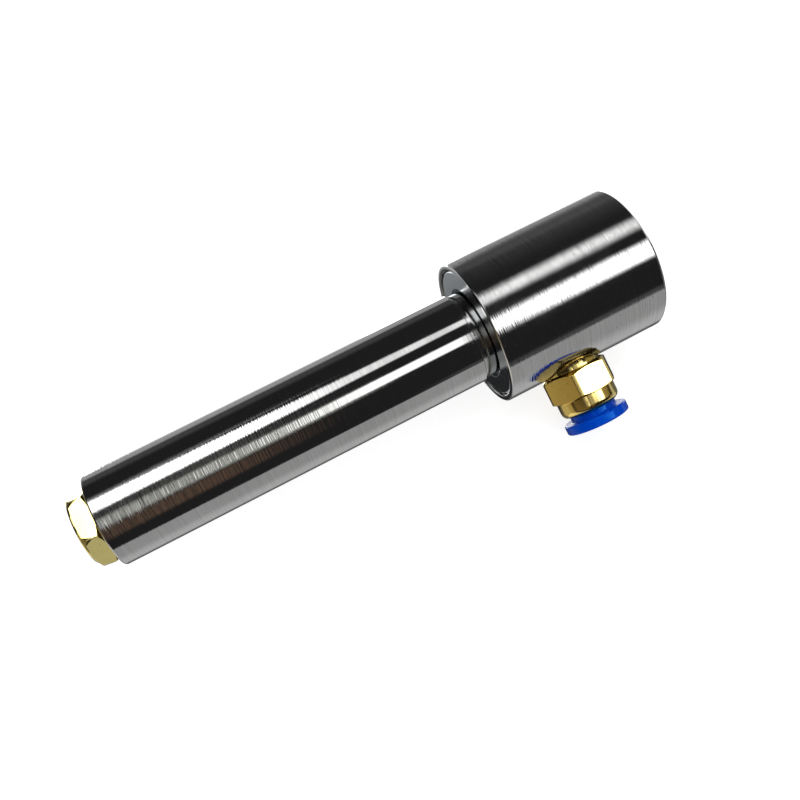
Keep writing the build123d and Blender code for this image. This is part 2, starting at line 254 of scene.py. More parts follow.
def remap(tree, value, low, high, start=0.0, end=1.0, smooth=True):
    """A value taken from one range to another, held at both ends."""
    shape = "SMOOTHSTEP" if smooth else "LINEAR"
    inputs = {"Value": value, "From Min": low, "From Max": high, "To Min": start, "To Max": end}
    return put(tree, "ShaderNodeMapRange", inputs, interpolation_type=shape).outputs[0]


def new_group(name, inputs, output, kind="Float"):
    """An empty node group and its two ends. Each input has its kind, or the value of a plain number."""
    group = bpy.data.node_groups.new(name, "ShaderNodeTree")
    for label, given in inputs.items():
        named = isinstance(given, str)
        socket_type = "NodeSocket" + (given if named else "Float")
        socket = group.interface.new_socket(name=label, in_out="INPUT", socket_type=socket_type)
        if not named:
            socket.default_value = given
    group.interface.new_socket(name=output, in_out="OUTPUT", socket_type="NodeSocket" + kind)
    return group, group.nodes.new("NodeGroupInput").outputs, group.nodes.new("NodeGroupOutput").inputs


def in_sizes(group, given):
    """The group's Position, counted in its Size."""
    per_metre = calc(group, "DIVIDE", 1.0, given["Size"])
    inputs = {0: given["Position"], "Scale": per_metre}
    return put(group, "ShaderNodeVectorMath", inputs, operation="SCALE").outputs[0]


def use_group(tree, group, **inputs):
    """A placed node group, with underscores in its input names read as spaces."""
    spaced = {name.replace("_", " "): value for name, value in inputs.items()}
    return put(tree, "ShaderNodeGroup", spaced, node_tree=group).outputs


@cache
def turning_marks():
    """Fine rings left by the lathe, on a piece turned about its X axis."""
    group, given, out = new_group("turning_marks", {"Position": "Vector", "Pitch": 0.5 * MM}, "Height")
    parts = put(group, "ShaderNodeSeparateXYZ", {0: given["Position"]}).outputs
    round_about = put(group, "ShaderNodeCombineXYZ", {"Y": parts["Y"], "Z": parts["Z"]}).outputs[0]
    radius = put(group, "ShaderNodeVectorMath", {0: round_about}, operation="LENGTH").outputs["Value"]
    along = calc(group, "DIVIDE", calc(group, "ADD", parts["X"], radius), given["Pitch"])
    stretched = {side: calc(group, "MULTIPLY", parts[side], RING_DRIFT) for side in ("Y", "Z")}
    lines = put(group, "ShaderNodeCombineXYZ", {"X": along, **stretched}).outputs[0]
    noise = put(group, "ShaderNodeTexNoise", {"Vector": lines, "Scale": 1.0, "Detail": 1.0, "Roughness": 0.5})
    group.links.new(noise.outputs["Fac"], out["Height"])
    return group


@cache
def fine_scratches():
    """Sparse short scratches in two crossing directions."""
    group, given, out = new_group(
        "fine_scratches", {"Position": "Vector", "Size": 3.0 * MM, "Amount": 0.5}, "Mask"
    )
    masks = []
    for turn, seed in (((0.3, 0.5, 0.9), 3.1), ((1.1, -0.4, -0.6), 7.7)):
        scaled = in_sizes(group, given)
        placed = put(
            group, "ShaderNodeMapping",
            {"Vector": scaled, "Location": (seed, seed, seed), "Rotation": turn, "Scale": (1.0, 5.0, 5.0)},
        ).outputs[0]
        cells = put(
            group, "ShaderNodeTexVoronoi", {"Vector": placed, "Scale": 1.0, "Randomness": 1.0},
            feature="DISTANCE_TO_EDGE",
        ).outputs["Distance"]
        thin = remap(group, cells, 0.0, 0.035, 1.0, 0.0)
        broad = put(group, "ShaderNodeTexNoise", {"Vector": placed, "Scale": 0.8, "Detail": 1.0})
        patch = broad.outputs["Fac"]
        limit = calc(group, "SUBTRACT", 0.75, calc(group, "MULTIPLY", given["Amount"], 0.3))
        shown = remap(group, patch, limit, calc(group, "ADD", limit, 0.06))
        masks.append(calc(group, "MULTIPLY", thin, shown))
    group.links.new(calc(group, "MAXIMUM", *masks), out["Mask"])
    return group


@cache
def pits():
    """Small pits and specks of grime."""
    group, given, out = new_group("pits", {"Position": "Vector", "Size": 0.7 * MM, "Amount": 0.5}, "Mask")
    scaled = in_sizes(group, given)
    cells = put(group, "ShaderNodeTexVoronoi", {"Vector": scaled, "Scale": 1.0, "Randomness": 1.0})
    ragged = put(group, "ShaderNodeTexNoise", {"Vector": scaled, "Scale": 4.0, "Detail": 2.0}).outputs["Fac"]
    size = put(group, "ShaderNodeSeparateColor", {"Color": cells.outputs["Color"]}).outputs["Red"]
    rare = calc(group, "POWER", size, 6.0)
    reach = calc(group, "MULTIPLY", rare, calc(group, "MULTIPLY", given["Amount"], 0.8))
    edge = calc(group, "ADD", cells.outputs["Distance"], calc(group, "MULTIPLY", ragged, 0.12))
    group.links.new(remap(group, calc(group, "SUBTRACT", edge, reach), 0.0, 0.08, 1.0, 0.0), out["Mask"])
    return group


@cache
def handling_marks():
    """Broad faint patches left by hands and oil."""
    group, given, out = new_group("handling_marks", {"Position": "Vector", "Size": 12.0 * MM}, "Factor")
    scaled = in_sizes(group, given)
    noise = put(group, "ShaderNodeTexNoise", {
        "Vector": scaled, "Scale": 1.0, "Detail": 4.0, "Roughness": 0.6, "Distortion": 0.6,
    }).outputs["Fac"]
    group.links.new(remap(group, noise, 0.35, 0.7), out["Factor"])
    return group


def new_material(name):
    """A material with its Principled shader, and its tree."""
    material = bpy.data.materials.new(name)
    material.use_nodes = True
    tree = material.node_tree
    return material, tree, tree.nodes["Principled BSDF"].inputs


def place_of(tree, about_inlet=False):
    """Object coordinates, turned for the inlet's pieces so that X is the axis they were made round."""
    position = put(tree, "ShaderNodeTexCoord").outputs["Object"]
    if not about_inlet:
        return position
    placed = fitting_frame()
    return put(
        tree, "ShaderNodeMapping",
        {"Vector": position, "Location": placed.translation, "Rotation": placed.to_euler()},
        vector_type="TEXTURE",
    ).outputs[0]


def mixed(tree, factor, first, second, way="MIX"):
    """Two colours mixed, or the second added to the first, by a factor."""
    inputs = {"Factor": factor}
    for index, colour in ((6, first), (7, second)):
        inputs[index] = colour if isinstance(colour, bpy.types.NodeSocket) else (*colour, 1.0)
    return put(tree, "ShaderNodeMix", inputs, data_type="RGBA", blend_type=way).outputs[2]


def finish_colour(name):
    """One of the colours in the panel, as a plain tuple."""
    return tuple(getattr(bpy.context.scene.vortex_finishes, name))


def times(colour, share):
    """A colour made darker or lighter by a share."""
    return tuple(share * part for part in colour)


def weighed(tree, *pairs):
    """The sum of values, each times its weight."""
    total = 0.0
    for value, weight in pairs:
        total = calc(tree, "MULTIPLY_ADD", value, weight, total)
    return total


def turned_metal(
    name, colour, dull, rough, pitch=0.3 * MM, depth=1.0, scratch=0.3, pit=0.2, stain=0.3, lines=0.0,
    polish=None, about_inlet=False,
):
    """A lathe-turned metal: rings, scratches, pits and handling marks over one colour.

    Depth is in micrometres. Polish names two places along X between which the rings fade away and the
    skin gets smoother, and lines is how much painted shade the finest rings lay on the colour.
    """
    finish = bpy.context.scene.vortex_finishes
    material, tree, shader = new_material(name)
    position = place_of(tree, about_inlet)
    rings = use_group(tree, turning_marks(), Position=position, Pitch=pitch)["Height"]
    scratches = use_group(tree, fine_scratches(), Position=position, Size=2.6 * MM, Amount=scratch)["Mask"]
    specks = use_group(tree, pits(), Position=position, Size=0.6 * MM, Amount=pit)["Mask"]
    marks = use_group(tree, handling_marks(), Position=position, Size=14 * MM)["Factor"]
    toned = mixed(tree, calc(tree, "MULTIPLY", marks, stain), finish_colour(colour), dull)
    shade = mixed(tree, calc(tree, "MULTIPLY", specks, 0.6), toned, times(dull, 0.25))
    # Painted shade: the finest turning rings darken the colour towards the dull tone, by the lines amount.
    if lines:
        fine = use_group(tree, turning_marks(), Position=position, Pitch=SHADED_RING_PITCH)["Height"]
        shade = mixed(tree, remap(tree, fine, 0.62, 0.36, 0.0, lines), shade, times(dull, 0.15))
    tree.links.new(shade, shader["Base Color"])
    shader["Metallic"].default_value = 1.0
    skin = [(rings, 0.04), (marks, 0.04), (scratches, 0.06), (specks, 0.15), (1.0, rough - 0.04)]
    if polish:
        along = put(tree, "ShaderNodeSeparateXYZ", {0: position}).outputs["X"]
        left = remap(tree, along, *polish, 1.0, RINGS_LEFT, smooth=False)
        rings = calc(tree, "MULTIPLY", rings, left)
        skin += [(left, POLISH_GAIN), (1.0, -POLISH_GAIN)]
    tree.links.new(weighed(tree, *skin), shader["Roughness"])
    height = weighed(
        tree, (rings, depth * finish.turning), (scratches, -0.6 * finish.wear), (specks, -2.0 * finish.wear)
    )
    bump = put(tree, "ShaderNodeBump", {"Height": height, "Distance": 0.001 * MM, "Strength": 1.0})
    tree.links.new(bump.outputs[0], shader["Normal"])
    return material


# Depth and pitch are of the rings; scratch, pit and stain say how much of each is seen.
# Lines is how much painted shade the finest rings lay on the colour.
METALS = {
    "housing_steel": dict(
        colour="steel", dull=(0.46, 0.455, 0.45), rough=0.09, pitch=0.26 * MM, depth=28.0,
        scratch=0.5, pit=0.35, lines=0.12,
    ),
    "tube_steel": dict(
        colour="steel", dull=(0.46, 0.455, 0.45), rough=0.08, pitch=0.26 * MM, depth=48.0,
        scratch=0.45, lines=0.1, polish=(TUBE_LOW.x, -50 * MM),
    ),
    "satin_disc": dict(colour="disc", dull=(0.33, 0.35, 0.36), rough=0.22, depth=5.0, pit=0.1),
    "valve_brass": dict(colour="brass", dull=(0.74, 0.63, 0.24), rough=0.12, pit=0.35, stain=0.4),
    "fitting_brass": dict(
        colour="bright_brass", dull=(0.7, 0.52, 0.17), rough=0.12, pit=0.35, stain=0.4, about_inlet=True,
    ),
    "milled_brass": dict(
        colour="inner_brass", dull=(0.5, 0.37, 0.13), rough=0.28, pitch=0.35 * MM, depth=3.0, stain=0.4,
    ),
    "spring_steel": dict(
        colour="spring", dull=(0.45, 0.44, 0.42), rough=0.25, depth=1.5, scratch=0.4, about_inlet=True,
    ),
}


@cache
def metal(name):
    """One of the metals, made at its first use."""
    return turned_metal(name, **METALS[name])


def moulded(name, colour, rough, grain, grain_size, about_inlet=False):
    """A moulded plastic or rubber: a fine skin, faint flow tone and small scratches."""
    finish = bpy.context.scene.vortex_finishes
    material, tree, shader = new_material(name)
    colour = finish_colour(colour)
    position = place_of(tree, about_inlet)
    marks = use_group(tree, handling_marks(), Position=position, Size=5 * MM)["Factor"]
    scratches = use_group(tree, fine_scratches(), Position=position, Size=2 * MM, Amount=0.4)["Mask"]
    skin = put(tree, "ShaderNodeTexNoise", {
        "Vector": position, "Scale": 1 / grain_size, "Detail": 3.0, "Roughness": 0.6,
    }).outputs["Fac"]
    tree.links.new(
        mixed(tree, calc(tree, "MULTIPLY", marks, 0.5), colour, times(colour, 0.78)), shader["Base Color"]
    )
    tree.links.new(
        weighed(tree, (marks, 0.06), (scratches, 0.2), (skin, 0.08), (1.0, rough - 0.05)), shader["Roughness"]
    )
    height = weighed(tree, (skin, grain), (scratches, -0.4 * finish.wear))
    bump = put(tree, "ShaderNodeBump", {"Height": height, "Distance": 0.01 * MM, "Strength": 1.0})
    tree.links.new(bump.outputs[0], shader["Normal"])
    return material, shader


@cache
def collar_blue():
    material, shader = moulded("collar_blue", "blue", 0.13, 0.3, 0.9 * MM, about_inlet=True)
    shader["Specular IOR Level"].default_value = 0.45
    shader["Specular Tint"].default_value = (0.06, 0.5, 1.0, 1.0)
    shader["Subsurface Weight"].default_value = 0.15
    shader["Subsurface Radius"].default_value = (0.2, 0.5, 1.0)
    shader["Subsurface Scale"].default_value = 0.8 * MM
    shader["IOR"].default_value = 1.52
    return material


@cache
def orifice_plastic():
    return moulded("orifice_plastic", "white_plastic", 0.4, 0.6, 0.4 * MM)[0]


@cache
def seal_rubber():
    return moulded("seal_rubber", "rubber", 0.5, 1.2, 0.15 * MM)[0]


# Mesh helpers

def fitting_frame():
    """The fitting's own frame in the model: X out along its axis, Y along the housing."""
    press = next(joint for joint in frame["joints"] if joint["name"] == "collar_press")
    outward = -Vector(press["axis"]).normalized()
    along = Vector((1, 0, 0))
    placed = Matrix((outward, along, outward.cross(along))).transposed().to_4x4()
    placed.translation = ((COLLAR_LOW.x + COLLAR_HIGH.x) / 2, 0, 0)
    return placed


def turned(corners, edge=SOFT_EDGE, steps=FINE_STEPS):
    """A closed mesh spun about X from (along, radius) corners; a third value is the corner's own round."""
    work = bmesh.new()
    points = [work.verts.new((corner[0], corner[1], 0)) for corner in corners]
    work.faces.new(points)
    wanted = [corner[2] if len(corner) > 2 else edge for corner in corners]
    for size in sorted({w for w in wanted if w > 0}):
        chosen = [p for p, corner, w in zip(points, corners, wanted) if w == size and corner[1] > TINY]
        if chosen:
            bmesh.ops.bevel(
                work, geom=chosen, offset=size, offset_type="OFFSET", segments=2 if size <= SOFT_EDGE else 6,
                profile=0.5, affect="VERTICES", material=-1, clamp_overlap=True,
            )
    bmesh.ops.delete(work, geom=work.faces[:], context="FACES_ONLY")
    on_axis = [e for e in work.edges if all(abs(v.co.y) < TINY for v in e.verts)]
    bmesh.ops.delete(work, geom=on_axis, context="EDGES")
    bmesh.ops.spin(
        work, geom=work.verts[:] + work.edges[:], cent=(0, 0, 0), axis=(1, 0, 0), dvec=(0, 0, 0),
        angle=math.tau, steps=steps, use_merge=True, use_duplicate=False,
    )
    bmesh.ops.remove_doubles(work, verts=work.verts[:], dist=TINY)
    bmesh.ops.recalc_face_normals(work, faces=work.faces[:])
    return work


def helix(start_x, base, crest, half_base, half_crest, pitch, turns, steps=72):
    """A closed thread ridge wound about X, from its base radius to its crest."""
    work = bmesh.new()
    corners = ((-half_base, base), (-half_crest, crest), (half_crest, crest), (half_base, base))
    profile = work.faces.new([work.verts.new((start_x + along, radius, 0)) for along, radius in corners])
    count = round(turns * steps)
    bmesh.ops.spin(
        work, geom=[profile], cent=(0, 0, 0), axis=(1, 0, 0), dvec=(pitch / steps, 0, 0),
        angle=math.tau * turns, steps=count, use_merge=False, use_duplicate=False,
    )
    bmesh.ops.recalc_face_normals(work, faces=work.faces[:])
    return work


def hex_bar(x0, x1, half_flats, corner_angle):
    """A hexagonal bar along X whose first corner stands at an angle from Y."""
    work = bmesh.new()
    reach = half_flats / math.cos(math.pi / 6)
    bmesh.ops.create_circle(work, cap_ends=True, radius=reach, segments=6)
    first = min(work.verts, key=lambda v: abs(math.atan2(v.co.y, v.co.x)))
    start = math.atan2(first.co.y, first.co.x)
    stand = Matrix(((0, 0, 1, x0), (1, 0, 0, 0), (0, 1, 0, 0), (0, 0, 0, 1)))
    turn = Matrix.Rotation(corner_angle - start, 4, "Z")
    bmesh.ops.transform(work, matrix=stand @ turn, verts=work.verts[:])
    grown = bmesh.ops.extrude_face_region(work, geom=work.faces[:])
    far = [v for v in grown["geom"] if isinstance(v, bmesh.types.BMVert)]
    bmesh.ops.translate(work, vec=(x1 - x0, 0, 0), verts=far)
    bmesh.ops.recalc_face_normals(work, faces=work.faces[:])
    return work


def block(low, high):
    """A box between two corners, to cut with."""
    work = bmesh.new()
    bmesh.ops.create_cube(work, size=1.0)
    bmesh.ops.scale(work, vec=[b - a for a, b in zip(low, high)], verts=work.verts[:])
    bmesh.ops.translate(work, vec=[(a + b) / 2 for a, b in zip(low, high)], verts=work.verts[:])
    return work


def round_bar(matrix, radius, reach, steps=64):
    """A plain round bar of a reach each way along its own Z, to drill with."""
    work = bmesh.new()
    bmesh.ops.create_cone(
        work, cap_ends=True, segments=steps, radius1=radius, radius2=radius, depth=2 * reach, matrix=matrix
    )
    return work


def moved(work, matrix):
    """The same bmesh, put in a new place."""
    bmesh.ops.transform(work, matrix=matrix, verts=work.verts[:])
    return work


def work_object(work):
    """A passing object that holds one bmesh for the Boolean modifiers."""
    mesh = bpy.data.meshes.new("work")
    work.to_mesh(mesh)
    work.free()
    made = bpy.data.objects.new("work", mesh)
    bpy.context.scene.collection.objects.link(made)
    return made


def combine(first, *steps):
    """The first mesh after each (operation, mesh) step: DIFFERENCE, UNION or INTERSECT."""
    target = work_object(first)
    tools = []
    for operation, work in steps:
        tool = work_object(work)
        tools.append(tool)
        cut = target.modifiers.new(operation, "BOOLEAN")
        cut.operation, cut.object, cut.solver = operation, tool, "EXACT"
    graph = bpy.context.evaluated_depsgraph_get()
    mesh = bpy.data.meshes.new_from_object(target.evaluated_get(graph))
    result = bmesh.new()
    result.from_mesh(mesh)
    bpy.data.meshes.remove(mesh)
    for passing in [target, *tools]:
        data = passing.data
        bpy.data.objects.remove(passing)
        bpy.data.meshes.remove(data)
    bmesh.ops.remove_doubles(result, verts=result.verts[:], dist=TINY)
    return result


def finish_piece(work, name, body, material, nodes=()):
    """Turns a bmesh into a shown piece that rides on its body and stands for its CAD nodes."""
    bmesh.ops.recalc_face_normals(work, faces=work.faces[:])
    for face in work.faces:
        face.smooth = True
    mesh = bpy.data.meshes.new(name)
    work.to_mesh(mesh)
    work.free()
    mesh.set_sharp_from_angle(angle=SHARP_ANGLE)
    mesh.materials.append(material)
    piece = bpy.data.objects.new(name, mesh)
    bpy.context.scene.collection.objects.link(piece)
    weighted = piece.modifiers.new("even_normals", "WEIGHTED_NORMAL")
    weighted.mode = "FACE_AREA_WITH_ANGLE"
    weighted.keep_sharp = True
    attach(piece, body)
    if nodes:
        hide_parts(*nodes)
    return piece


# Operators, one for each piece or group of like pieces

class VORTEX_OT_housing(bpy.types.Operator):
    """Turn the housing, cut its inlet port and wind the thread of the cold outlet"""

    bl_idname = "vortex_tube.housing"
    bl_label = "Housing"

    def execute(self, context):
        size = context.scene.vortex_housing
        port = context.scene.vortex_fitting
        thread_end = -size.port_depth + 0.9 * MM
        mouth_floor = size.rim_x + size.mouth_depth
        cap_thread, cap_nose, chamber, cold_hole = 14.55 * MM, 12.85 * MM, 10.5 * MM, 4.7 * MM
        nose_x, step_x, generator_x = -32.6 * MM, -28.9 * MM, -12.5 * MM
        body = turned([
            (size.rim_x, size.mouth_radius), (mouth_floor, size.mouth_radius),
            (mouth_floor, cap_thread), (nose_x, cap_thread), (nose_x, cap_nose),
            (step_x, cap_nose), (step_x, chamber), (generator_x, chamber), (generator_x, cold_hole),
            (-size.port_depth, cold_hole), (-size.port_depth, size.port_crest), (thread_end, size.port_crest),
            (thread_end, size.port_root), (-0.5 * MM, size.port_root), (0, size.port_root + 0.4 * MM),
            (0, size.radius - size.cold_edge), (-size.cold_edge, size.radius),
            (size.rim_x + size.rim_edge, size.radius), (size.rim_x, size.radius - size.rim_edge),
        ])
        inner_end, outer_end, spot_radius = 8 * MM, 20 * MM, 6.5 * MM
        port_radius = port.stub_radius + SLIDE_GAP
        cutter = turned([
            (inner_end, 0), (inner_end, port_radius), (port.port_face, port_radius),
            (port.port_face, spot_radius), (outer_end, spot_radius), (outer_end, 0),
        ], edge=0, steps=SMALL_STEPS)
        cut = combine(body, ("DIFFERENCE", moved(cutter, fitting_frame())))
        finish_piece(cut, "housing_body", "tube_body", metal("housing_steel"), ["housing"])
        turns = (size.port_depth - 2.2 * MM) / size.port_pitch
        ridge = helix(
            thread_end + 0.55 * MM, size.port_root + 0.04 * MM, size.port_crest, 0.6 * MM, 0.13 * MM,
            size.port_pitch, turns,
        )
        finish_piece(ridge, "cold_port_thread", "tube_body", metal("housing_steel"))
        return {"FINISHED"}


class VORTEX_OT_end_cap(bpy.types.Operator):
    """Turn the satin disc that closes the housing's hot side"""

    bl_idname = "vortex_tube.end_cap"
    bl_label = "End cap"

    def execute(self, context):
        size = context.scene.vortex_cap
        neck_seat = size.face_x + size.mouth_depth
        tube_thread, pilot, pilot_groove = 9.05 * MM, 8.35 * MM, 9.35 * MM
        nose, nose_groove = 12.8 * MM, 11.3 * MM
        thread_x, shoulder_x, nose_x = -31.3 * MM, -32.9 * MM, -28.9 * MM
        pilot_low, pilot_high = -30.75 * MM, -29.45 * MM
        groove_low, groove_high = -31.8 * MM, -30.0 * MM
        disc = turned([
            (size.face_x, size.mouth_radius), (neck_seat, size.mouth_radius), (neck_seat, tube_thread),
            (thread_x, tube_thread), (thread_x, pilot), (pilot_low, pilot), (pilot_low, pilot_groove),
            (pilot_high, pilot_groove), (pilot_high, pilot), (nose_x, pilot), (nose_x, nose),
            (groove_high, nose), (groove_high, nose_groove), (groove_low, nose_groove), (groove_low, nose),
            (shoulder_x, nose), (shoulder_x, size.radius), (size.face_x + size.edge, size.radius),
            (size.face_x, size.radius - size.edge),
        ])
        finish_piece(disc, "cap_disc", "tube_body", metal("satin_disc"), ["end_cap"])
        return {"FINISHED"}


class VORTEX_OT_hot_tube(bpy.types.Operator):
    """Turn the thick hot tube with its neck, thread, pilot and bored hot end"""

    bl_idname = "vortex_tube.hot_tube"
    bl_label = "Hot tube"

    def execute(self, context):
        size = context.scene.vortex_tube
        valve_thread, seal_wall, pilot, thread = 7.0 * MM, 6.5 * MM, 8.3 * MM, 9.0 * MM
        seal_wall_x, seat_wide_x, seat_x = -115.1 * MM, -106.05 * MM, -105.05 * MM
        pilot_end, thread_end, neck_end = -23.5 * MM, -31.6 * MM, -35.6 * MM
        tube = turned([
            (size.end_x, valve_thread, 0.25 * MM), (seal_wall_x, valve_thread), (seal_wall_x, seal_wall),
            (seat_wide_x, seal_wall), (seat_x, size.bore_radius), (pilot_end, size.bore_radius),
            (pilot_end, pilot), (thread_end, pilot), (thread_end, thread), (neck_end, thread),
            (neck_end, size.neck_radius), (size.shoulder_x, size.neck_radius),
            (size.shoulder_x, size.radius, size.shoulder_round), (size.end_x, size.radius, size.end_round),
        ])
        finish_piece(tube, "hot_tube_body", "tube_body", metal("tube_steel"), ["hot_tube"])
        return {"FINISHED"}


class VORTEX_OT_hot_valve(bpy.types.Operator):
    """Make the brass screw valve: hexagon head, threaded shank, cross holes and cone"""

    bl_idname = "vortex_tube.hot_valve"
    bl_label = "Hot valve"

    def execute(self, context):
        size = context.scene.vortex_valve
        end, face = size.end_x, size.end_x + size.head_length
        corner = size.half_flats / math.cos(math.pi / 6)
        boss = size.half_flats - 0.1 * MM
        envelope = turned([
            (end, 0), (end, boss - 0.3 * MM), (end + 0.3 * MM, boss), (end + 0.5 * MM, boss, 0),
            (end + 0.75 * MM, corner - 0.5 * MM), (face - 1.0 * MM, corner + 0.04 * MM, 0),
            (face, size.half_flats - 0.35 * MM), (face, 0),
        ])
        tip, cone, waist, land, groove = 2.7 * MM, 5.9 * MM, 4.0 * MM, 6.45 * MM, 4.95 * MM
        tip_x, cone_low, cone_high = -102.35 * MM, -106.15 * MM, -105.55 * MM
        waist_x, groove_low, groove_high = -110.15 * MM, -112.35 * MM, -110.55 * MM
        thread_end, buried_x = -115.95 * MM, face - 1.3 * MM
        stem = turned([
            (buried_x, 0), (tip_x, 0), (tip_x, tip), (cone_high, cone), (cone_low, cone), (cone_low, waist),
            (waist_x, waist), (waist_x, land), (groove_high, land), (groove_high, groove),
            (groove_low, groove), (groove_low, land), (thread_end, land),
            (thread_end - 0.3 * MM, size.thread_root), (buried_x, size.thread_root),
        ], steps=SMALL_STEPS)
        hole_x, hole_radius, hole_reach = -108.15 * MM, 1.1 * MM, 4.5 * MM
        bore_end = hole_x + 1.7 * MM
        mouth = size.bore_radius + 0.4 * MM
        bore = turned([
            (end - 1 * MM, 0), (end - 1 * MM, mouth + 1 * MM), (end, mouth),
            (end + 0.4 * MM, size.bore_radius), (bore_end, size.bore_radius), (bore_end, 0),
        ], edge=0, steps=SMALL_STEPS)
        upright = Matrix.Translation((hole_x, 0, 0))
        level = upright @ Matrix.Rotation(math.pi / 2, 4, "X")
        head = combine(
            hex_bar(end - 1 * MM, face + 1 * MM, size.half_flats, size.hex_turn),
            ("INTERSECT", envelope), ("UNION", stem), ("DIFFERENCE", bore),
            ("DIFFERENCE", round_bar(upright, hole_radius, hole_reach)),
            ("DIFFERENCE", round_bar(level, hole_radius, hole_reach)),
        )
        finish_piece(head, "valve_body", "valve", metal("valve_brass"), ["hot_valve"])
        ridge = helix(
            face + 0.45 * MM, size.thread_root - 0.03 * MM, size.thread_crest, 0.44 * MM, 0.07 * MM,
            size.thread_pitch, 5.1,
        )
        finish_piece(ridge, "valve_thread", "valve", metal("valve_brass"))
        return {"FINISHED"}


class VORTEX_OT_inlet_fitting(bpy.types.Operator):
    """Make the brass push-in fitting: thread stub, hexagon, round body and hose cage"""

    bl_idname = "vortex_tube.inlet_fitting"
    bl_label = "Inlet fitting"

    def execute(self, context):
        size = context.scene.vortex_fitting
        corner = size.half_flats / math.cos(math.pi / 6) - 0.23 * MM
        base, deep = 6.15 * MM, 0.4 * MM
        rise = math.tan(math.radians(25))
        low = size.hex_base - deep * rise
        high = size.hex_top + (size.half_flats - size.body_radius) * rise + deep * rise
        envelope = turned([
            (low, 0), (low, base - deep), (size.hex_base + (corner - base) * rise, corner),
            (size.hex_top - (corner - size.half_flats) * rise, corner), (high, size.body_radius - deep),
            (high, 0),
        ], edge=0)
        middle = (size.hex_base + size.hex_top) / 2
        thread_root, thread_top = 4.28 * MM, 14.3 * MM
        core = turned([
            (size.stub_end, 0), (size.stub_end, thread_root), (thread_top, thread_root),
            (size.port_face, 4.6 * MM), (size.port_face, base), (middle, base), (middle, size.body_radius),
            (size.top, size.body_radius, size.top_round), (size.top, 0),
        ])
        stop, cage, snap, lip = (size.top - depth * MM for depth in (10.96, 7.96, 4.8, 1.9))
        air, hose, wall, catch = 3.0 * MM, 4.1 * MM, 5.2 * MM, 5.75 * MM
        inside, outside = size.stub_end - 1 * MM, size.top + 1 * MM
        bores = turned([
            (inside, 0), (inside, air), (stop, air), (stop, hose), (cage, hose), (cage, wall), (snap, wall),
            (snap, catch), (lip, catch), (lip, wall), (size.top - 0.25 * MM, wall),
            (size.top, wall + 0.25 * MM), (outside, 6.4 * MM), (outside, 0),
        ], edge=0, steps=SMALL_STEPS)
        seat_in, seat_out = 4.62 * MM, 5.885 * MM
        seat_low, seat_high = size.port_face - 0.4 * MM, size.port_face + 1 * MM
        seat = turned([
            (seat_low, seat_in), (seat_low, seat_out), (seat_high, seat_out), (seat_high, seat_in),
        ], edge=0, steps=SMALL_STEPS)
        made = combine(
            hex_bar(size.hex_base - 1 * MM, size.top, size.half_flats, size.hex_turn),
            ("INTERSECT", envelope), ("UNION", core), ("DIFFERENCE", bores), ("DIFFERENCE", seat),
        )
        placed = fitting_frame()
        brass = metal("fitting_brass")
        finish_piece(moved(made, placed), "fitting_body", "tube_body", brass, ["inlet_fitting"])
        ridge = helix(
            size.stub_end + 0.5 * MM, thread_root - 0.03 * MM, size.stub_radius, 0.4 * MM, 0.08 * MM,
            0.907 * MM, 3.0,
        )
        finish_piece(moved(ridge, placed), "fitting_thread", "tube_body", brass)
        return {"FINISHED"}


class VORTEX_OT_release_collar(bpy.types.Operator):
    """Mould the blue release collar with its flange, barb and slits"""

    bl_idname = "vortex_tube.release_collar"
    bl_label = "Release collar"

    def execute(self, context):
        size = context.scene.vortex_collar
        inner, neck = size.bore_radius, size.neck_radius
        barb, nose = neck + 0.4 * MM, neck - 0.35 * MM
        tip, barb_low, barb_high, slit_end = (size.face - depth * MM for depth in (7.7, 6.6, 5.6, 3.4))
        collar = turned([
            (tip, inner), (size.face, inner, 0.35 * MM), (size.face, size.flange_radius, size.flange_round),
            (size.base, size.flange_radius, size.flange_round), (size.base, neck, 0.2 * MM),
            (barb_high, neck), (barb_high, barb), (barb_low, nose), (tip, nose),
        ], steps=SMALL_STEPS)
        half, low, high = 0.4 * MM, 3 * MM, 7 * MM
        slits = []
        for start, stop in ((low, high), (-high, -low)):
            slits.append(("DIFFERENCE", block((tip - half, -half, start), (slit_end, half, stop))))
            slits.append(("DIFFERENCE", block((tip - half, start, -half), (slit_end, stop, half))))
        made = combine(collar, *slits)
        finish_piece(
            moved(made, fitting_frame()), "collar_body", "collar", collar_blue(),
            ["release_collar"],
        )
        return {"FINISHED"}


class VORTEX_OT_inner_parts(bpy.types.Operator):
    """Give the seals and the pieces inside, which keep their own shape, their finishes"""

    bl_idname = "vortex_tube.inner_parts"
    bl_label = "Inner parts"

    def execute(self, context):
        rubber, brass = seal_rubber(), metal("milled_brass")
        finishes = {
            "cap_seal": rubber, "pilot_seal": rubber, "generator_seal": rubber,
            "inlet_seal": rubber, "tube_seal": rubber, "valve_seal": rubber,
            "vortex_generator": brass, "flow_straightener": brass, "seal_spacer": brass,
            "cold_orifice": orifice_plastic(), "grab_ring": metal("spring_steel"),
        }
        for node, finish in finishes.items():
            piece = frame["nodes"][node]
            for kept in piece.material_slots:
                kept.material = finish
            if not piece.material_slots:
                piece.data.materials.append(finish)
        return {"FINISHED"}


